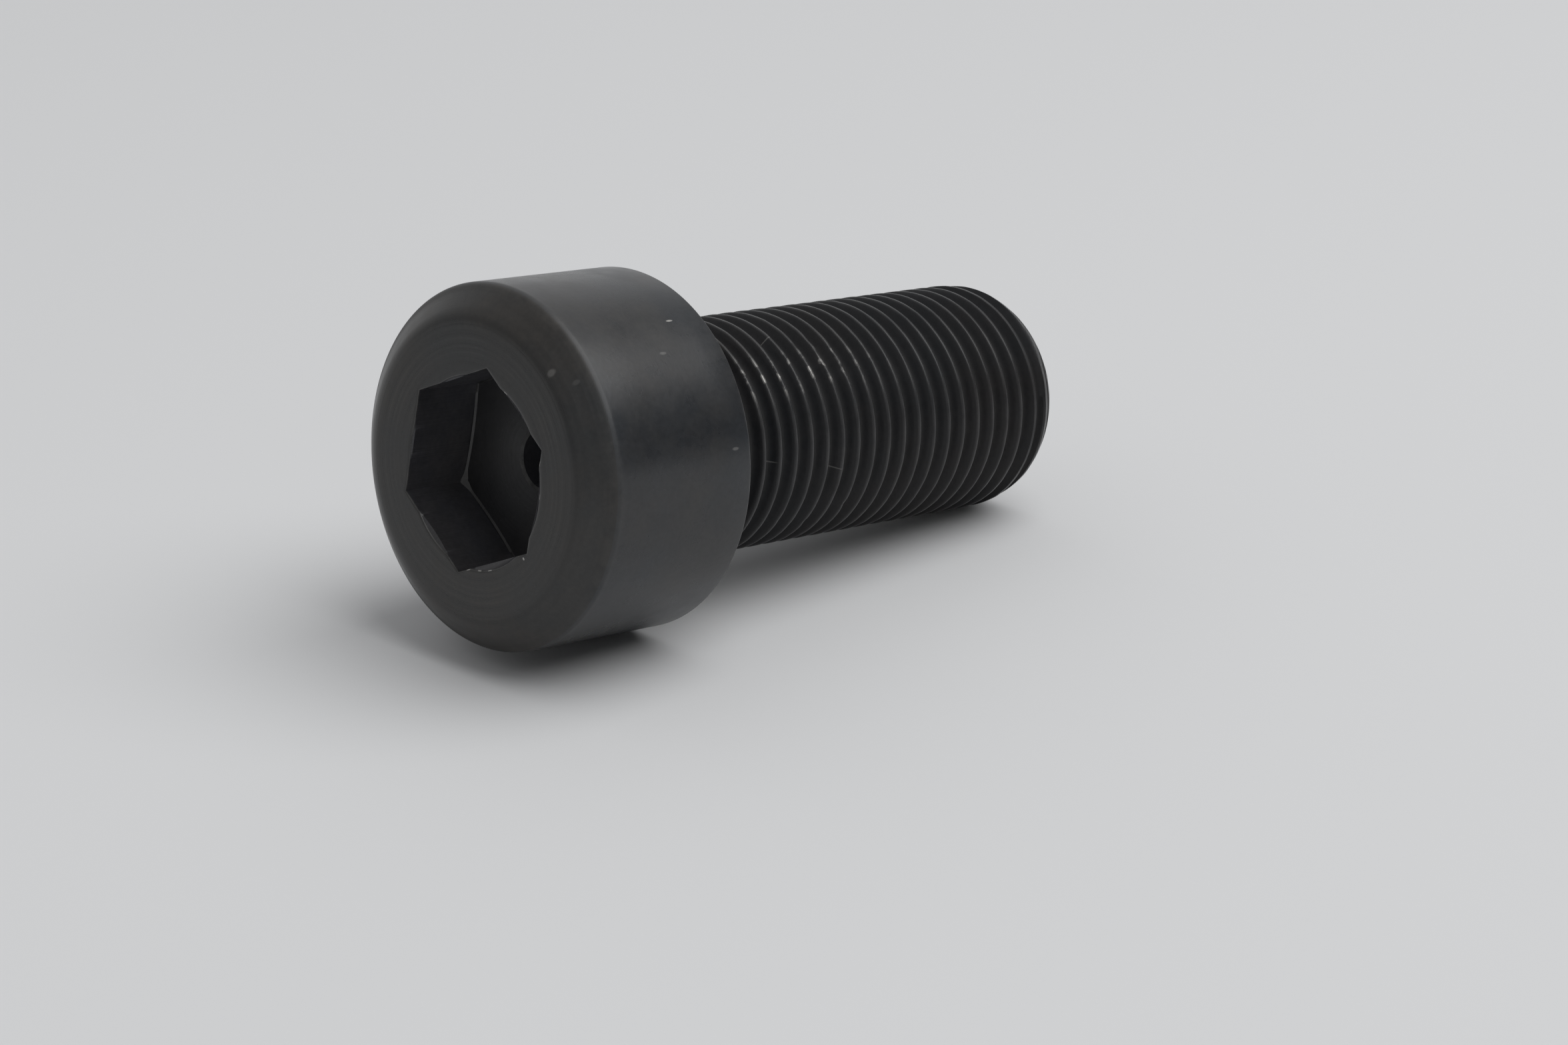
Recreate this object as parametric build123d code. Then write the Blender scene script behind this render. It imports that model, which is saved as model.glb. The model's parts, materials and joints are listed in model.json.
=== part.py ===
from build123d import *
import os
from math import atan2, cos, degrees, radians, sin, tan

# Socket head cap screw, M16 x 1.5 fine thread, lying at rest on its side. Lengths are in mm.
#
# The screw is built upright in its own turning frame, with the bearing face under the head at
# z = 0, the head below it and the shank above it, up to the tip. It is then laid down along +X:
# it rests on the rear rim of the head and on the last full turn of the thread, so its axis dips
# towards the tip. The row's origin is on the floor, under the middle of the bounding box.

# Head
head_diameter = 24.0
head_height = 13.4
face_chamfer_width = 2.0  # across the face, from the flat to the side
face_chamfer_depth = 1.6  # along the axis
rear_edge_break = 0.25

# Shank, drawn at the thread's major diameter
thread_diameter = 16.0
length_under_head = 35.5
tip_chamfer_width = 1.7  # measured in from the crests of the thread
tip_chamfer_length = 2.6
underhead_fillet = 0.6
seam_turn = 2.0  # degrees; keeps the seam of the turned faces off the line that the screw rests on

# Hexagon socket
hexagon_across_flats = 12.0
hexagon_depth = 5.0  # down to the corners of its floor
hexagon_turn = 5.7  # degrees, from the plane that stands upright through the axis
mouth_relief = 0.28  # how far the countersink of the mouth reaches past the flats
mouth_half_angle = 60.0
mouth_offset = 0.18  # the countersink is a little off the axis
mouth_offset_turn = 300.0
floor_slope = 11.0
pilot_diameter = 3.9
pilot_depth = 1.6

head_radius = head_diameter / 2
thread_radius = thread_diameter / 2
hexagon_apothem = hexagon_across_flats / 2
hexagon_corner_radius = hexagon_apothem / cos(radians(30))
pilot_radius = pilot_diameter / 2


def turned_body():
    """The head, shank and tip as they leave the lathe, one profile turned about the axis."""
    shank_end = length_under_head - tip_chamfer_length
    fillet_centre = thread_radius + underhead_fillet
    side = Polyline(
        (0, -head_height),
        (head_radius - face_chamfer_width, -head_height),
        (head_radius, face_chamfer_depth - head_height),
        (head_radius, -rear_edge_break),
        (head_radius - rear_edge_break, 0),
        (fillet_centre, 0),
    )
    fillet_arc = RadiusArc((fillet_centre, 0), (thread_radius, underhead_fillet), underhead_fillet)
    shank = Polyline(
        (thread_radius, underhead_fillet),
        (thread_radius, shank_end),
        (thread_radius - tip_chamfer_width, length_under_head),
        (0, length_under_head),
        (0, -head_height),
    )
    body = revolve(Plane.XZ * make_face(side + fillet_arc + shank), Axis.Z)
    return Rot(0, 0, seam_turn) * body


def hexagon_socket():
    """The blind hexagon, cut a little past the face and down to where the cone of its floor starts."""
    outline = RegularPolygon(hexagon_corner_radius, 6, rotation=hexagon_turn)
    return Pos(0, 0, -head_height) * extrude(outline, hexagon_depth)


def socket_floor():
    """The shallow cone left by the drill, kept inside the hexagon, and the pilot hole in its middle."""
    cone_height = (hexagon_corner_radius - pilot_radius) * tan(radians(floor_slope))
    outline = RegularPolygon(hexagon_corner_radius, 6, rotation=hexagon_turn)
    bottom = Pos(0, 0, hexagon_depth - head_height)
    cone = bottom * Pos(0, 0, cone_height / 2) * Cone(hexagon_corner_radius, pilot_radius, cone_height)
    prism = bottom * extrude(outline, cone_height)
    pilot_length = cone_height + pilot_depth
    pilot = bottom * Pos(0, 0, pilot_length / 2) * Cylinder(pilot_radius, pilot_length)
    return (cone & prism) + pilot


def mouth_countersink():
    """The off-centre countersink that rounds the middle of each flat at the mouth."""
    mouth_radius = hexagon_apothem + mouth_relief
    height = mouth_radius / tan(radians(mouth_half_angle))
    turn = radians(mouth_offset_turn)
    centre = (mouth_offset * cos(turn), mouth_offset * sin(turn), height / 2 - head_height)
    return Pos(*centre) * Cone(mouth_radius, 0, height)


def rest_dip():
    """The angle in degrees by which the axis dips when the screw lies on its head and its thread."""
    run = length_under_head - tip_chamfer_length + rear_edge_break
    return degrees(atan2(head_radius - thread_radius, run))


def lay_down(screw):
    """Lays the upright screw along +X at its rest, and sets it on the floor, centred on the origin."""
    lying = Rot(0, 90 + rest_dip(), 0) * screw
    box = lying.bounding_box()
    middle = box.center()
    return Pos(-middle.X, -middle.Y, -box.min.Z) * lying


def cap_screw():
    return lay_down(turned_body() - hexagon_socket() - socket_floor() - mouth_countersink())


os.makedirs("parts", exist_ok=True)
export_step(cap_screw(), "parts/cap_screw.step")
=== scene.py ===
import json
import math

import bmesh
import bpy
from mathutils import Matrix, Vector, noise


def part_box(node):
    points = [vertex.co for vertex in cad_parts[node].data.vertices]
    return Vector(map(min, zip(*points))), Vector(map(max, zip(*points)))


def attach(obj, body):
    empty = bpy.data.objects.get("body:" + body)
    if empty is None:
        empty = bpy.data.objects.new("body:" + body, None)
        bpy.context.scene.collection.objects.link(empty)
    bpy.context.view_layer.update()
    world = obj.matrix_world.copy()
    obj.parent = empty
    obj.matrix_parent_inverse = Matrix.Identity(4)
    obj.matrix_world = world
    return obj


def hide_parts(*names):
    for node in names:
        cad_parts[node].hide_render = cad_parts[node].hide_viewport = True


# A black steel socket head cap screw, M16 x 1.5, lying on a pale surface. Lengths are in metres and
# angles in radians. The main sizes are read from the frame, and the finer ones stand below. A turn is
# an angle about the screw's axis, from UP towards SIDE.

MM = 0.001

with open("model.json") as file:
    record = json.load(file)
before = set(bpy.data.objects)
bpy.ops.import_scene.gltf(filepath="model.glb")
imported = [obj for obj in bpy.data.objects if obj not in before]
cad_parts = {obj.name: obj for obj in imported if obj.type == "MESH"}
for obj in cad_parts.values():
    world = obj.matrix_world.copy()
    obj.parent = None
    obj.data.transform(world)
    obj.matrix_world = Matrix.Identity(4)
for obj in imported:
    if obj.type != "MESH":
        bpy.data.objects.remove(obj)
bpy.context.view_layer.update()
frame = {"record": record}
mounts = {mount["name"]: mount for mount in frame["record"]["mounts"]}


# ---- The screw's own axis and main sizes, from the frame -------------------------------------------

AXIS = Vector(mounts["thread"]["axis"]).normalized()  # from the head towards the tip
UP = (Vector((0, 0, 1)) - AXIS * AXIS.z).normalized()  # across the axis, in the upright plane
SIDE = AXIS.cross(UP)
MOUTH = Vector(mounts["hex_socket"]["pos_m"])
HEAD_HEIGHT = (Vector(mounts["bearing_face"]["pos_m"]) - MOUTH).dot(AXIS)
BEARING = MOUTH + AXIS * HEAD_HEIGHT  # middle of the bearing face under the head
HEAD_RADIUS = (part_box("cap_screw")[1].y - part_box("cap_screw")[0].y) / 2
THREAD_RADIUS = mounts["thread"]["dims"]["r_mm"] * MM
WALL_LENGTH = mounts["thread"]["dims"]["length_mm"] * MM
WALL_START = (Vector(mounts["thread"]["pos_m"]) - BEARING).dot(AXIS) - WALL_LENGTH / 2

# ---- Finer sizes -----------------------------------------------------------------------------------

BEVEL_WIDTH = 2.0 * MM  # of the head's face
BEVEL_DEPTH = 1.6 * MM
FACE_CORNER_ROUNDING = 2.0 * MM
SIDE_CORNER_ROUNDING = 0.7 * MM
REAR_EDGE_BREAK = 0.25 * MM
REAR_EDGE_ROUNDING = 0.15 * MM
UNDERHEAD_FILLET = WALL_START  # it ends where the straight shank starts

TIP_BEVEL_LENGTH = 2.6 * MM
TIP_BEVEL_WIDTH = 1.7 * MM
TIP_ROUNDING = 0.45 * MM
TIP_BEVEL_CROWN = 0.22 * MM  # how far the bevel swells past a straight cone
TIP_BEVEL_SOFTNESS = 0.25 * MM  # how softly the crests run into the bevel
LENGTH = WALL_START + WALL_LENGTH + TIP_BEVEL_LENGTH

HEXAGON_APOTHEM = 6.0 * MM
HEXAGON_TURN = math.radians(5.7)
HEXAGON_DEPTH = 5.0 * MM
FLOOR_SLOPE = math.radians(11)
FLOOR_BURR = 0.11 * MM
CORNER_BURR = 0.22 * MM  # more of it, in one corner of the floor
CORNER_BURR_TURN = HEXAGON_TURN + math.radians(240)
CORNER_BURR_REACH = math.radians(4)
MOUTH_RELIEF = 0.28 * MM
MOUTH_SLOPE = math.radians(30)
MOUTH_OFFSET = 0.18 * MM
MOUTH_OFFSET_TURN = math.radians(120)
RIM_ROUNDING = 0.07 * MM
RIM_MIDDLE = 0.3 * RIM_ROUNDING  # depth of the middle of the rounding
PILOT_RADIUS = 1.95 * MM
PILOT_DEPTH = 1.6 * MM
PILOT_RIM = 0.16 * MM

PITCH = 1.5 * MM
THREAD_DEPTH = 0.6134 * PITCH
CREST_AT = 18.57 * MM  # a crest's distance from the bearing face, at the angle CREST_TURN
CREST_TURN = math.radians(73)
THREAD_START = 0.8 * MM
RUNOUT_END = 3.4 * MM

# One pitch of the thread, from crest to crest: share of the pitch along, share of the depth down.
THREAD_PROFILE = (
    (-0.050, 0.0), (0.050, 0.0), (0.075, 0.03), (0.19, 0.37), (0.31, 0.71), (0.40, 0.955),
    (0.455, 1.0), (0.545, 1.0), (0.60, 0.955), (0.69, 0.71), (0.81, 0.37), (0.925, 0.03),
)

CREST_WEAR = 0.018 * MM  # on average; it varies from none to twice this
WEAR_PER_MM = 0.9  # how quickly it varies along the thread, and below round it
WEAR_PER_RADIAN = 9
WEAR_SLICE = 4.0  # which slice of the noise it follows

SHARP_ANGLE = math.radians(38)  # edges that turn by more than this are shaded sharp
FACE_BANDS = 8
SEGMENTS = 240  # a multiple of six, so that every corner of the hexagon is a vertex
FINISHES = ("turned_face", "head_side", "socket_wall", "worn_edge", "thread", "tip_end")

# Small dents in the crests of the thread, at which the thread's finish also paints highlights: distance
# along in mm, turn in degrees, and depth in mm.
DENTS = (
    (11.3, 32.5, 0.10), (12.7, 29.6, 0.07), (12.7, 39, 0.09), (12.4, 42.8, 0.07), (14.0, 37.6, 0.10),
    (14.0, 49, 0.12), (14.8, 52.2, 0.10), (8.7, 124.2, 0.08), (11.5, 129.9, 0.08), (14.4, 120.9, 0.08),
)
DENT_REACH = 0.35 * MM

# Marks of handling, and small bright spots near the socket's mouth that are painted highlights: the radius
# or the distance along in mm, and the turn in degrees.
FACE_SPOT = ((10.2, 39.5),)
FAINT_FACE_SPOT = ((11.1, 47),)
# Bright spots on the face beside the mouth: painted highlights.
FACE_GLINTS = ((7.55, 298), (7.0, 129.5))
SIDE_SCRATCH = ((-3.07, 31.6),)
FAINT_SIDE_SCRATCHES = ((-5.29, 43.3), (-1.51, 76.3))
# Bright spots on the mouth's rim: painted highlights.
MOUTH_GLINTS = ((6.5, 159), (6.65, 177.5), (6.24, 24.7), (6.7, 72.5), (6.5, 91), (6.6, 168))
LONG_HAIRLINES = ((9.26, 24.2), (12.2, 98.2))
SHORT_HAIRLINE = ((6.12, 89.8),)


def place(along, radius, turn):
    """The point at a distance along the axis from the bearing face, at a radius and turn about it."""
    return BEARING + AXIS * along + (UP * math.cos(turn) + SIDE * math.sin(turn)) * radius


# ---- Mesh building ---------------------------------------------------------------------------------

TURNS = [HEXAGON_TURN + 2 * math.pi * step / SEGMENTS for step in range(SEGMENTS)]


class Skin:
    """Vertices and faces of one piece, gathered ring by ring."""

    def __init__(self):
        self.points = []
        self.faces = []
        self.finishes = []

    def ring(self, along, radius):
        """Adds a ring; along and radius are lengths, or functions of the turn."""
        first = len(self.points)
        for turn in TURNS:
            here = along(turn) if callable(along) else along
            out = radius(turn) if callable(radius) else radius
            self.points.append(place(here, out, turn))
        return list(range(first, first + SEGMENTS))

    def face(self, corners, finish):
        """Adds a face, leaving out corners that have come together."""
        kept = [corner for at, corner in enumerate(corners) if corner != corners[at - 1]]
        if len(set(kept)) > 2:
            self.faces.append(tuple(kept))
            self.finishes.append(FINISHES.index(finish))

    def band(self, ring, next_ring, finish):
        for step in range(SEGMENTS):
            after = (step + 1) % SEGMENTS
            self.face((ring[step], next_ring[step], next_ring[after], ring[after]), finish)

    def bands(self, rings, finish):
        """Joins rings one after another, and returns the last."""
        for ring, next_ring in zip(rings, rings[1:]):
            self.band(ring, next_ring, finish)
        return rings[-1]

    def cap(self, ring, centre, finish):
        """Closes a ring by a fan about a centre point."""
        self.points.append(centre)
        middle = len(self.points) - 1
        for step in range(SEGMENTS):
            self.face((ring[step], middle, ring[(step + 1) % SEGMENTS]), finish)

    def piece(self, name, finishes, sharp_angle):
        """Makes the object, with its finishes and its smooth and sharp edges."""
        mesh = bpy.data.meshes.new(name)
        mesh.from_pydata(self.points, [], self.faces)
        for finish in FINISHES:
            mesh.materials.append(finishes[finish])
        mesh.polygons.foreach_set("material_index", self.finishes)
        shape = bmesh.new()
        shape.from_mesh(mesh)
        bmesh.ops.recalc_face_normals(shape, faces=shape.faces)
        shape.to_mesh(mesh)
        shape.free()
        mesh.shade_smooth()
        mesh.set_sharp_from_angle(angle=sharp_angle)
        made = bpy.data.objects.new(name, mesh)
        bpy.context.scene.collection.objects.link(made)
        return made


def between(start, end, share):
    return start + (end - start) * share


def smooth(low, high, value):
    """0 below low, 1 above high, and an easy curve between."""
    share = min(max((value - low) / (high - low), 0), 1)
    return share * share * (3 - 2 * share)


def straight(start, end, steps):
    """Points of a straight stretch of a profile, without its two ends."""
    return [tuple(between(a, b, step / steps) for a, b in zip(start, end)) for step in range(1, steps)]


def rounded(before, corner, after, radius, steps=5):
    """Points of an arc that rounds the corner of a profile given as (along, radius) pairs."""
    before, corner, after = (Vector(point) for point in (before, corner, after))
    back = (before - corner).normalized()
    on = (after - corner).normalized()
    half = back.angle(on) / 2
    centre = corner + (back + on).normalized() * (radius / math.sin(half))
    start = corner + back * (radius / math.tan(half)) - centre
    end = corner + on * (radius / math.tan(half)) - centre
    sweep = start.angle(end)
    points = []
    for step in range(steps + 1):
        share = step / steps
        arm = start * math.sin((1 - share) * sweep) + end * math.sin(share * sweep)
        points.append(tuple(centre + arm / math.sin(sweep)))
    return points


# ---- Head ------------------------------------------------------------------------------------------

def hexagon_radius(turn):
    """Distance from the axis to the socket's wall."""
    across = (turn - HEXAGON_TURN) % (math.pi / 3) - math.pi / 6
    return HEXAGON_APOTHEM / math.cos(across)


def mouth_radius(turn):
    """Distance from the axis to the mouth's rim: the hexagon, or the countersink where that is wider."""
    away = turn - MOUTH_OFFSET_TURN
    reach = HEXAGON_APOTHEM + MOUTH_RELIEF
    countersink = MOUTH_OFFSET * math.cos(away) + math.sqrt(reach**2 - (MOUTH_OFFSET * math.sin(away)) ** 2)
    return max(hexagon_radius(turn), countersink)


def rim_radius(turn):
    return mouth_radius(turn) + RIM_ROUNDING


def add_face(skin):
    """The flat face round the socket. Returns its inner and outer rings."""
    bevel_start = HEAD_RADIUS - BEVEL_WIDTH - FACE_CORNER_ROUNDING
    shares = [step / FACE_BANDS for step in range(FACE_BANDS + 1)]
    rings = [
        skin.ring(-HEAD_HEIGHT, lambda turn, share=share: between(rim_radius(turn), bevel_start, share))
        for share in shares
    ]
    skin.bands(rings, "turned_face")
    return rings[0], rings[-1]


def add_bevel(skin, ring):
    """The bevel of the face, up to the start of the side."""
    face = (-HEAD_HEIGHT, HEAD_RADIUS - BEVEL_WIDTH)
    side = (BEVEL_DEPTH - HEAD_HEIGHT, HEAD_RADIUS)
    points = rounded((-HEAD_HEIGHT, 0), face, side, FACE_CORNER_ROUNDING, 7)
    points += straight(points[-1], side, 3)[:1]
    rounding = rounded(face, side, (0, HEAD_RADIUS), SIDE_CORNER_ROUNDING, 7)
    rings = [ring] + [skin.ring(*point) for point in points + rounding[:4]]
    bevel_end = skin.bands(rings, "turned_face")
    return skin.bands([bevel_end] + [skin.ring(*point) for point in rounding[4:]], "head_side")


def add_side(skin, ring):
    """The side of the head, its rear edge, the bearing face and the fillet under the head."""
    rear = (-REAR_EDGE_BREAK, HEAD_RADIUS)
    bearing = (0, HEAD_RADIUS - REAR_EDGE_BREAK)
    front = (BEVEL_DEPTH - HEAD_HEIGHT, HEAD_RADIUS)
    fillet_centre = THREAD_RADIUS + UNDERHEAD_FILLET
    points = straight(front, rear, 6)[1:]
    points += rounded(front, rear, bearing, REAR_EDGE_ROUNDING, 3)
    points += rounded(rear, bearing, (0, 0), REAR_EDGE_ROUNDING, 3)
    points += straight(bearing, (0, fillet_centre), 4)
    for step in range(7):
        bend = math.pi / 12 * step
        points.append((
            UNDERHEAD_FILLET * (1 - math.cos(bend)),
            fillet_centre - UNDERHEAD_FILLET * math.sin(bend),
        ))
    return skin.bands([ring] + [skin.ring(*point) for point in points], "head_side")


def floor_depth(radius):
    """Depth of the socket's floor below the face at a radius; it falls to the pilot hole."""
    corner = HEXAGON_APOTHEM / math.cos(math.pi / 6)
    return HEXAGON_DEPTH + (corner - radius) * math.tan(FLOOR_SLOPE)


def add_socket(skin, rim):
    """The rounded rim, the countersink, the walls, the floor with its burr, and the pilot hole."""
    def along(depth):
        return depth - HEAD_HEIGHT

    def countersink_depth(turn):
        wide = mouth_radius(turn) - hexagon_radius(turn)
        return along(max(wide * math.tan(MOUTH_SLOPE), RIM_ROUNDING) + RIM_ROUNDING)

    def mouth_edge(turn):
        return mouth_radius(turn) + RIM_MIDDLE

    mouth = [rim, skin.ring(along(RIM_MIDDLE), mouth_edge)]
    mouth.append(skin.ring(along(RIM_ROUNDING), mouth_radius))
    walls = [skin.bands(mouth, "worn_edge"), skin.ring(countersink_depth, hexagon_radius)]
    for share in (0.25, 0.5, 0.75):
        walls.append(skin.ring(along(HEXAGON_DEPTH * share), hexagon_radius))

    def burr_size(turn):
        away = (turn - CORNER_BURR_TURN) / CORNER_BURR_REACH
        return FLOOR_BURR + CORNER_BURR * math.exp(-(away**2))

    def burr_top(turn):
        return along(floor_depth(hexagon_radius(turn)) - burr_size(turn))

    def burr_foot(turn):
        return hexagon_radius(turn) - burr_size(turn)

    def burr_end(turn):
        return along(floor_depth(burr_foot(turn)))

    walls.append(skin.ring(burr_top, hexagon_radius))
    burr = [skin.bands(walls, "socket_wall"), skin.ring(burr_end, burr_foot)]
    floor = [skin.bands(burr, "worn_edge")]
    for share in (0.3, 0.65, 1):
        def radius(turn, share=share):
            return between(burr_foot(turn), PILOT_RADIUS + PILOT_RIM, share)

        floor.append(skin.ring(lambda turn, out=radius: along(floor_depth(out(turn))), radius))
    pilot_start = along(floor_depth(PILOT_RADIUS) + PILOT_RIM)
    pilot_bottom = pilot_start + PILOT_DEPTH
    pilot_rim = [skin.bands(floor, "socket_wall"), skin.ring(pilot_start, PILOT_RADIUS)]
    pilot_end = skin.ring(pilot_bottom, PILOT_RADIUS)
    bottom = skin.bands([skin.bands(pilot_rim, "worn_edge"), pilot_end], "socket_wall")
    skin.cap(bottom, place(pilot_bottom, 0, 0), "socket_wall")


# ---- Thread and tip --------------------------------------------------------------------------------

def tip_envelope(along):
    """Radius of the bevelled tip, which starts softly and swells a little."""
    past = (along - LENGTH + TIP_BEVEL_LENGTH) / TIP_BEVEL_LENGTH
    swell = TIP_BEVEL_CROWN * 4 * past * (1 - past) if past > 0 else 0
    drop = past * TIP_BEVEL_WIDTH
    return THREAD_RADIUS + swell - (drop + math.sqrt(drop**2 + TIP_BEVEL_SOFTNESS**2)) / 2


def dent_depth(along, turn):
    """How far the dents sink the surface at a place."""
    depth = 0
    for dent_along, dent_turn, deepest in DENTS:
        run = along - dent_along * MM
        if abs(run) < 2 * DENT_REACH:
            across = (turn - math.radians(dent_turn)) * THREAD_RADIUS
            depth += deepest * MM * math.exp(-(run**2 + across**2) / DENT_REACH**2)
    return depth


def thread_radius(along, turn, depth_share):
    """Radius of the thread's surface, with its run-out under the head and the bevel of the tip."""
    runout = smooth(THREAD_START, RUNOUT_END, along)
    wear = CREST_WEAR * (1 + noise.noise((along / MM * WEAR_PER_MM, turn * WEAR_PER_RADIAN, WEAR_SLICE)))
    groove = THREAD_DEPTH * depth_share * runout
    damage = (wear + dent_depth(along, turn)) * (1 - depth_share)
    return min(THREAD_RADIUS - groove, tip_envelope(along)) - damage


def thread_point(turn, index, start, end):
    """One point of the thread: its place along the axis, held between start and end, and the share of
    the thread's depth that it lies at."""
    winding, at = divmod(index, len(THREAD_PROFILE))
    share_along, depth_share = THREAD_PROFILE[at]
    crest = CREST_AT + PITCH * (turn - CREST_TURN) / (2 * math.pi)
    along = crest + PITCH * (winding + share_along)
    return min(max(along, start), end), depth_share


def add_thread(skin, first_ring, last_ring, start, end):
    """The helical surface between two rings. Each column of points stands at one turn, moved along with
    the helix, and the last column meets the first one pitch further on, so the surface closes."""
    per_pitch = len(THREAD_PROFILE)
    spare = 2  # pitches past both ends, since the columns move along by a whole pitch
    lowest = math.floor((start - CREST_AT) / PITCH - spare) * per_pitch
    highest = math.ceil((end - CREST_AT) / PITCH + spare) * per_pitch
    columns = []
    for step, turn in enumerate(TURNS):
        column = []
        for index in range(lowest, highest):
            along, depth_share = thread_point(turn, index, start, end)
            if along <= start:
                column.append(first_ring[step])
            elif along >= end:
                column.append(last_ring[step])
            else:
                skin.points.append(place(along, thread_radius(along, turn, depth_share), turn))
                column.append(len(skin.points) - 1)
        columns.append(column)
    for step, column in enumerate(columns):
        shift = per_pitch if step == SEGMENTS - 1 else 0
        beside = columns[(step + 1) % SEGMENTS]
        for index in range(len(column) - 1 - shift):
            quad = (column[index], column[index + 1], beside[index + 1 + shift], beside[index + shift])
            skin.face(quad, "thread")


def add_tip(skin):
    """The rounded end of the bevel and the flat end. Returns the ring where the thread stops."""
    bevel_start = (LENGTH - TIP_BEVEL_LENGTH, THREAD_RADIUS)
    corner = (LENGTH, THREAD_RADIUS - TIP_BEVEL_WIDTH)
    points = rounded(bevel_start, corner, (LENGTH, 0), TIP_ROUNDING)
    rings = [skin.ring(*point) for point in points]
    for share in (0.75, 0.5, 0.25):
        rings.append(skin.ring(LENGTH, corner[1] * share))
    end = skin.bands(rings, "tip_end")
    skin.cap(end, place(LENGTH, 0, 0), "tip_end")
    return rings[0]


def screw(finishes):
    """The whole screw as one closed skin."""
    skin = Skin()
    rim, face_end = add_face(skin)
    add_socket(skin, rim)
    fillet_end = add_side(skin, add_bevel(skin, face_end))
    bevel_end = add_tip(skin)
    tip_bevel = (skin.points[bevel_end[0]] - BEARING).dot(AXIS)
    add_thread(skin, fillet_end, bevel_end, UNDERHEAD_FILLET, tip_bevel)
    return skin.piece("screw", finishes, SHARP_ANGLE)


# ---- Finishes --------------------------------------------------------------------------------------

class Wire:
    """A value that varies over a surface. Arithmetic on it adds Math nodes."""

    def __init__(self, nodes, socket):
        self.nodes = nodes
        self.socket = socket

    def math(self, operation, *values):
        return self.nodes.node("ShaderNodeMath", {"operation": operation}, dict(enumerate(values)))

    def __add__(self, other):
        return self.math("ADD", self, other)

    def __radd__(self, other):
        return self.math("ADD", other, self)

    def __sub__(self, other):
        return self.math("SUBTRACT", self, other)

    def __rsub__(self, other):
        return self.math("SUBTRACT", other, self)

    def __mul__(self, other):
        return self.math("MULTIPLY", self, other)

    def __rmul__(self, other):
        return self.math("MULTIPLY", other, self)

    def __truediv__(self, other):
        return self.math("DIVIDE", self, other)

    def __abs__(self):
        return self.math("ABSOLUTE", self)

    def root(self):
        return self.math("SQRT", self)

    def or_more(self, other):
        return self.math("MAXIMUM", self, other)

    def over(self, low, high):
        """0 below low and 1 above high, with an easy curve between."""
        settings = {"interpolation_type": "SMOOTHSTEP"}
        return self.nodes.node("ShaderNodeMapRange", settings, {0: self, 1: low, 2: high})

    def near(self, middle, reach):
        """1 at middle, falling to 0 at reach on both sides."""
        return 1 - abs(self - middle).over(0, reach)


class Nodes:
    """The nodes of a material or of the world."""

    def __init__(self, tree):
        self.tree = tree

    def node(self, kind, settings, inputs, output=0):
        """Adds a node of a kind: its settings first, then the values or links of its inputs."""
        made = self.tree.nodes.new(kind)
        for name, setting in settings.items():
            setattr(made, name, setting)
        for name, value in inputs.items():
            self.give(made.inputs[name], value)
        return Wire(self, made.outputs[output])

    def give(self, socket, value):
        """Links a wire to a socket, or sets a value that is the same everywhere."""
        if isinstance(value, Wire):
            self.tree.links.new(value.socket, socket)
        else:
            socket.default_value = value

    def vector(self, operation, first, second):
        output = "Value" if operation == "DOT_PRODUCT" else "Vector"
        return self.node("ShaderNodeVectorMath", {"operation": operation}, {0: first, 1: second}, output)

    def mix(self, share, colour, other):
        return self.node("ShaderNodeMix", {"data_type": "RGBA"}, {0: share, 6: colour, 7: other}, 2)

    def feed(self, name, inputs):
        """Gives wires or values to the inputs of a node that is already there."""
        for socket, value in inputs.items():
            self.give(self.tree.nodes[name].inputs[socket], value)


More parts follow.
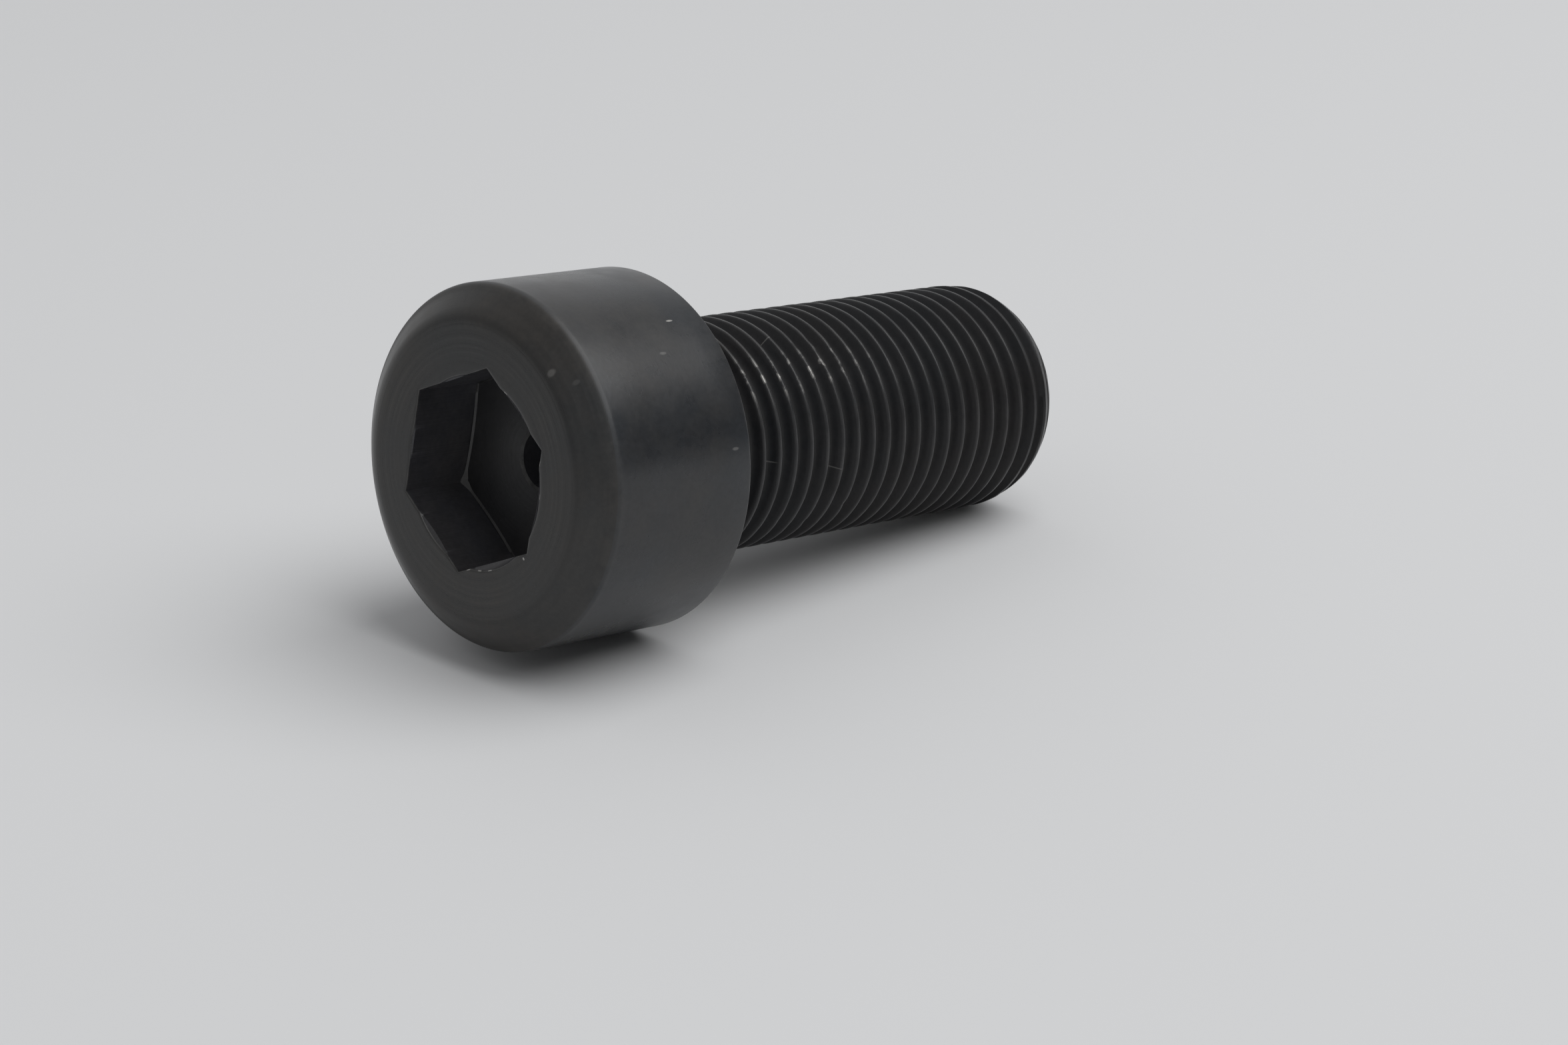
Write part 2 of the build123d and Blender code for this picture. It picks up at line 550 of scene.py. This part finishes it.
class Finish(Nodes):
    """A material of the screw. Its coordinates follow the screw's own axis, in millimetres and radians."""

    def __init__(self, name):
        self.material = bpy.data.materials.new(name)
        self.material.use_nodes = True
        super().__init__(self.material.node_tree)
        self.position = self.node("ShaderNodeTexCoord", {}, {}, "Object")
        from_bearing = self.vector("SUBTRACT", self.position, BEARING)
        self.along = self.vector("DOT_PRODUCT", from_bearing, AXIS / MM)
        self.up = self.vector("DOT_PRODUCT", from_bearing, UP / MM)
        self.side = self.vector("DOT_PRODUCT", from_bearing, SIDE / MM)
        self.radius = (self.up * self.up + self.side * self.side).root()
        self.turn = self.up.math("ARCTAN2", self.side, self.up)
        self.mottle = self.noise(0.9, 4)
        self.grain = self.noise(3.2, 3)

    def noise(self, scale, detail=2.0):
        """Noise over the surface, about 0.5; scale is in cells a millimetre."""
        where = self.vector("MULTIPLY", self.position, (scale / MM,) * 3)
        return self.node("ShaderNodeTexNoise", {}, {"Vector": where, "Scale": 1.0, "Detail": detail})

    def line_noise(self, value, scale, detail=2.0):
        """Noise that varies with one value only."""
        inputs = {"W": value * scale, "Scale": 1.0, "Detail": detail}
        return self.node("ShaderNodeTexNoise", {"noise_dimensions": "1D"}, inputs)

    def oxide(self, cool, warm):
        """The black oxide's colour, between a cool and a warm tone in broad clouds, with a fine grain."""
        clouds = self.noise(0.10, 3).over(0.32, 0.68)
        colour = self.mix(clouds * 0.7 + (self.mottle - 0.5) * 0.8 + 0.15, cool, warm)
        return self.toned(colour, 1 + (self.grain - 0.5) * 0.6 + (self.mottle - 0.5) * 0.35)

    def toned(self, colour, tone):
        return self.vector("MULTIPLY", colour, tone)

    def mark(self, run, turn, length, width):
        """1 on a small mark and 0 elsewhere. The run is the distance from the mark's middle, and the
        turn is in degrees."""
        across = (self.turn - math.radians(turn)) * self.radius / width
        out = run / length
        return 1 - (across * across + out * out).root().over(0.45, 1.0)

    def marks(self, value, places, length, width):
        """Several marks of one size, at (value, turn) places."""
        total = 0
        for at, turn in places:
            mark = self.mark(value - at, turn, length, width)
            total = mark.or_more(total)
        return total

    def finished(self, colour, roughness, metallic, height, depth):
        """Feeds the shader. The height is that of a fine bump, and depth is its size in millimetres."""
        bump = self.node("ShaderNodeBump", {}, {"Height": height, "Distance": depth * MM})
        surface = {"Base Color": colour, "Roughness": roughness, "Metallic": metallic, "Normal": bump}
        self.feed("Principled BSDF", surface)
        return self.material


# Greys mixed in for wear, scratches and marks, and also for painted light: lighter grooves, highlights and
# glints.
WEAR_AND_PAINTED_LIGHT_STEEL = (0.105, 0.104, 0.102, 1)
MARK_AND_GLINT_STEEL = (0.45, 0.44, 0.42, 1)
SATIN = 0.30  # roughness of the smoother oxide, and below of the duller
DULL = 0.36

# Places on the screw for the finishes, in millimetres.
HEAD_OUT = HEAD_RADIUS / MM
BEVEL_START = (HEAD_RADIUS - BEVEL_WIDTH) / MM
SIDE_START = (BEVEL_DEPTH - HEAD_HEIGHT) / MM
FLOOR_START = HEXAGON_DEPTH / MM
PILOT_OUT = PILOT_RADIUS / MM
CREST_OUT = THREAD_RADIUS / MM
TIP_OUT = (THREAD_RADIUS - TIP_BEVEL_WIDTH) / MM


def turned_face():
    """The face and its bevel, which is painted lighter as painted light: turning rings, spots from
    handling, and painted highlights beside the mouth.
    """
    finish = Finish("turned_face")
    colour = finish.oxide((0.0132, 0.0142, 0.0150, 1), (0.0192, 0.0170, 0.0148, 1))
    bands = finish.line_noise(finish.radius, 0.8, 2).over(0.30, 0.70)
    rings = finish.line_noise(finish.radius, 3.2, 3).over(0.25, 0.75)
    fine = finish.line_noise(finish.radius, 11, 2)
    uneven = 0.35 + finish.noise(0.22, 2).over(0.38, 0.62) * 0.65
    bevel = finish.radius.over(BEVEL_START - 0.2, BEVEL_START + 0.2)
    turned = (1 - bevel * 0.6) * uneven
    lines = (rings - 0.5) * 0.75 + (bands - 0.5) * 0.35
    # Painted light: the bevel's colour is made lighter than the face's.
    tone = 1 + lines * turned + (fine - 0.5) * 0.15 + bevel * 0.55
    wear = finish.radius.near(HEAD_OUT - 0.2, 0.5) * finish.mottle.over(0.25, 0.75)
    spots = finish.marks(finish.radius, FACE_SPOT, 0.36, 0.30)
    spots = spots.or_more(finish.marks(finish.radius, FAINT_FACE_SPOT, 0.26, 0.22) * 0.45)
    # Bright spots beside the mouth: painted highlights.
    painted_glints = finish.marks(finish.radius, FACE_GLINTS, 0.13, 0.10)
    worn = finish.mix(wear * 0.12, finish.toned(colour, tone), WEAR_AND_PAINTED_LIGHT_STEEL)
    marked = finish.mix((spots * 0.14).or_more(painted_glints * 0.8), worn, MARK_AND_GLINT_STEEL)
    corner = finish.radius.over(HEAD_OUT - 0.8, HEAD_OUT - 0.3)
    roughness = SATIN + (rings - 0.5) * turned * 0.10 + (finish.mottle - 0.5) * 0.14
    roughness = roughness + bevel * 0.05 + corner * 0.15
    height = rings * turned + fine * 0.4 + finish.grain * 0.5
    return finish.finished(marked, roughness, painted_glints * 0.6, height, 0.004)


def head_side():
    """The side of the head, its rear rim and the face under it: satin, with a few scratches, and a lighter
    band at the front corner that is partly wear and partly a painted highlight.
    """
    finish = Finish("head_side")
    colour = finish.oxide((0.0205, 0.0238, 0.0285, 1), (0.0262, 0.0254, 0.0252, 1))
    rear = finish.along.near(-0.15, 0.30) * finish.mottle.over(0.30, 0.70)
    # The front corner's lighter band is partly rubbed wear and partly a painted highlight.
    front = finish.along.near(SIDE_START + 0.05, 0.70) * (0.4 + finish.mottle.over(0.30, 0.75) * 0.6)
    lathe = finish.line_noise(finish.along, 6, 3)
    smudges = finish.noise(0.35, 3).over(0.35, 0.70)
    scratch = finish.marks(finish.along, SIDE_SCRATCH, 0.34, 0.10)
    faint = finish.marks(finish.along, FAINT_SIDE_SCRATCHES, 0.36, 0.14)
    worn = finish.mix(front * 0.18 + rear * 0.40, colour, WEAR_AND_PAINTED_LIGHT_STEEL)
    marked = finish.mix(scratch.or_more(faint * 0.18), worn, MARK_AND_GLINT_STEEL)
    corner = 1 - finish.along.over(SIDE_START + 0.1, SIDE_START + 0.5)
    roughness = SATIN + (finish.mottle - 0.5) * 0.12 + (smudges - 0.5) * 0.05 + corner * 0.18
    height = finish.grain + lathe * 0.3
    return finish.finished(marked, roughness, scratch * 0.6, height, 0.003)


def socket_wall():
    """The broached walls, the drilled floor, which is darker, and the pilot hole. The walls are painted
    lighter, more so deeper down, and the pilot hole much lighter: painted light against the socket's shade.
    """
    finish = Finish("socket_wall")
    # The walls' colour is painted lighter than the oxide elsewhere: painted light against the socket's
    # shade.
    colour = finish.oxide((0.060, 0.062, 0.073, 1), (0.066, 0.063, 0.065, 1))
    depth = finish.along + HEAD_HEIGHT / MM
    floor = depth.over(FLOOR_START - 0.1, FLOOR_START + 0.1)
    pilot = 1 - finish.radius.over(PILOT_OUT - 0.05, PILOT_OUT + 0.05)
    broached = finish.line_noise(finish.turn, 70, 2)
    drilled = finish.line_noise(finish.radius, 5, 2)
    # Painted light: lighter deeper down and much lighter in the pilot hole, against the deepening shade.
    painted_light_deeper = 0.55 + depth.over(-0.5, 3.5) * 0.45
    tone = painted_light_deeper - floor * 0.80 + pilot * 1.2 + (broached - 0.5) * (1 - floor) * 0.4
    shade = finish.toned(colour, tone)
    roughness = DULL + (finish.mottle - 0.5) * 0.2
    height = finish.grain * 0.6 + broached * (1 - floor) + drilled * floor
    return finish.finished(shade, roughness, 0.0, height, 0.004)


def worn_edge():
    """The socket's sharp edges, where the oxide is rubbed thin, more so round the pilot hole's rim, with
    painted highlights as bright spots on the mouth's rim.
    """
    finish = Finish("worn_edge")
    colour = finish.oxide((0.020, 0.021, 0.022, 1), (0.026, 0.024, 0.022, 1))
    depth = finish.along + HEAD_HEIGHT / MM
    mouth = 1 - depth.over(0.5, 1.0)
    # Bright spots on the mouth's rim: painted highlights.
    painted_glints = finish.marks(finish.radius, MOUTH_GLINTS, 0.5, 0.22) * mouth
    rubbed = finish.mottle.over(0.30, 0.62)
    pilot = 1 - finish.radius.over(PILOT_OUT + 0.05, PILOT_OUT + 0.65)
    worn = finish.mix(rubbed * (0.30 + mouth * 0.10 + pilot * 0.65), colour, WEAR_AND_PAINTED_LIGHT_STEEL)
    painted_highlights = finish.mix(painted_glints * 0.9, worn, MARK_AND_GLINT_STEEL)
    roughness = SATIN + (finish.mottle - 0.5) * 0.2
    return finish.finished(painted_highlights, roughness, painted_glints * 0.6, finish.grain, 0.006)


def thread():
    """Dark flanks, with painted shade on their upper part, under crests that are rubbed lighter; grooves
    painted lighter as painted light; painted glints on the crests near the head and at the dents; and
    turning lines at the run-out.
    """
    finish = Finish("thread")
    colour = finish.oxide((0.0160, 0.0172, 0.0195, 1), (0.0195, 0.0178, 0.0182, 1))
    crest = finish.radius.over(CREST_OUT - 0.14, CREST_OUT - 0.04)
    groove = 1 - finish.radius.over(CREST_OUT - 0.85, CREST_OUT - 0.45)
    runout = 1 - finish.along.over(2.6, 4.6)
    turning = finish.line_noise(finish.along, 9, 2).over(0.45, 0.75) * runout
    rubbed = finish.noise(0.5, 4).over(0.28, 0.66)
    # Painted highlights: glints painted on the crests in a band of turns near the head.
    glint = finish.turn.near(math.radians(47), math.radians(16)) * (1 - finish.along.over(9, 20))
    bright = crest * glint * finish.noise(1.6, 3).over(0.46, 0.62)
    worn_share = 0.07 + rubbed * 0.22 - finish.along.over(8, 30) * 0.07
    bare = (crest * worn_share).or_more(turning * 0.2)
    hairs = finish.marks(finish.along, LONG_HAIRLINES, 0.70, 0.06)
    hairs = hairs.or_more(finish.marks(finish.along, SHORT_HAIRLINE, 0.42, 0.06))
    # Painted shade: the upper flanks are painted darker.
    flank = finish.radius.over(CREST_OUT - 0.6, CREST_OUT - 0.2) * (1 - crest)
    shaded = finish.toned(colour, 1.1 - flank * 0.30)
    # Painted light: the grooves are painted lighter against their shade.
    grooves_painted_lighter = finish.mix(groove * 0.32, shaded, WEAR_AND_PAINTED_LIGHT_STEEL)
    worn = finish.mix(bare, grooves_painted_lighter, WEAR_AND_PAINTED_LIGHT_STEEL)
    # Painted highlights: glints painted on the crests at the dents.
    dents = finish.marks(finish.along, [dent[:2] for dent in DENTS], 0.20, 0.30)
    painted_highlights = dents * finish.noise(2.5, 2).over(0.35, 0.55)
    painted_highlights = painted_highlights * finish.radius.over(CREST_OUT - 0.5, CREST_OUT - 0.2)
    marked = finish.mix((bright * 0.6).or_more(hairs * 0.2).or_more(painted_highlights * 0.45), worn, MARK_AND_GLINT_STEEL)
    roughness = 0.34 + (finish.mottle - 0.5) * 0.2 - bright * 0.1
    height = finish.grain * 0.8 + finish.mottle * 1.6
    finish.feed("Principled BSDF", {"Specular IOR Level": 0.3})
    return finish.finished(marked, roughness, bare * 0.2 + bright * 0.4, height, 0.006)


def tip_end():
    """The turned end of the screw."""
    finish = Finish("tip_end")
    colour = finish.oxide((0.0115, 0.0122, 0.0135, 1), (0.0150, 0.0138, 0.0130, 1))
    rings = finish.line_noise(finish.radius, 4, 3).over(0.25, 0.75)
    edge = finish.radius.near(TIP_OUT, 0.35) * finish.mottle.over(0.35, 0.70)
    worn = finish.mix(edge * 0.08, finish.toned(colour, 0.8 + rings * 0.4), WEAR_AND_PAINTED_LIGHT_STEEL)
    roughness = DULL + (rings - 0.5) * 0.12
    return finish.finished(worn, roughness, edge * 0.1, rings + finish.grain * 0.5, 0.006)


# ---- The screw -------------------------------------------------------------------------------------

finishes = {
    "turned_face": turned_face(), "head_side": head_side(), "socket_wall": socket_wall(),
    "worn_edge": worn_edge(), "thread": thread(), "tip_end": tip_end(),
}
piece = screw(finishes)
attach(piece, "root")
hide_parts("cap_screw")


# ---- Floor, light and camera -----------------------------------------------------------------------

FLOOR_COLOUR = (0.70, 0.705, 0.712, 1)
ROOM_COLOUR = (0.985, 0.99, 1.0, 1)
CAMERA_PLACE = (-0.18112, -0.18547, 0.09811)
CAMERA_DIP = math.radians(19.99)  # below the level
CAMERA_HEADING = math.radians(-44.96)
LENS_LENGTH = 92.24  # in mm, for a sensor 36 mm wide


def pale_floor():
    bpy.ops.mesh.primitive_plane_add(size=6)
    floor = bpy.context.object
    floor.name = "floor"
    material = bpy.data.materials.new("pale_floor")
    material.use_nodes = True
    surface = {"Base Color": FLOOR_COLOUR, "Roughness": 0.9, "Specular IOR Level": 0.15}
    Nodes(material.node_tree).feed("Principled BSDF", surface)
    floor.data.materials.append(material)


def soft_light(name, position, size, power):
    """A round soft lamp that faces the screw."""
    lamp = bpy.data.lights.new(name, "AREA")
    lamp.shape = "DISK"
    lamp.size = size
    lamp.energy = power
    lit = bpy.data.objects.new(name, lamp)
    lit.location = position
    lit.rotation_euler = (-Vector(position)).to_track_quat("-Z", "Y").to_euler()
    bpy.context.scene.collection.objects.link(lit)


def room_light():
    """A pale room, dimmer overhead, on the left and on the near right, where the low part is dark."""
    world = bpy.data.worlds.new("room")
    bpy.context.scene.world = world
    world.use_nodes = True
    nodes = Nodes(world.node_tree)
    towards = nodes.node("ShaderNodeTexCoord", {}, {}, "Generated")
    height = nodes.vector("DOT_PRODUCT", towards, (0, 0, 1))
    right = nodes.vector("DOT_PRODUCT", towards, (1, 0, 0))
    near_right = nodes.vector("DOT_PRODUCT", towards, (0.71, -0.71, 0))
    dark = near_right.over(0.15, 0.70) * (1 - height.over(0.50, 0.70))
    level = (0.66 - height.over(0.75, 1.0) * 0.30) * (0.55 + right.over(-0.5, 0.3) * 0.45)
    level = level * (1 - near_right.over(0.15, 0.55) * (1 - height.over(0.55, 0.80)) * 0.35)
    nodes.feed("Background", {"Strength": level * (1 - dark * 0.88), "Color": ROOM_COLOUR})


def camera():
    lens = bpy.data.cameras.new("camera")
    lens.lens = LENS_LENGTH
    lens.sensor_width = 36
    lens.clip_end = 20
    held = bpy.data.objects.new("camera", lens)
    held.location = CAMERA_PLACE
    held.rotation_euler = (math.pi / 2 - CAMERA_DIP, 0, CAMERA_HEADING)
    bpy.context.scene.collection.objects.link(held)
    bpy.context.scene.camera = held


pale_floor()
soft_light("key", (0.30, -0.45, 0.95), size=1.3, power=9.2)
room_light()
camera()
bpy.context.scene.view_settings.view_transform = "Standard"
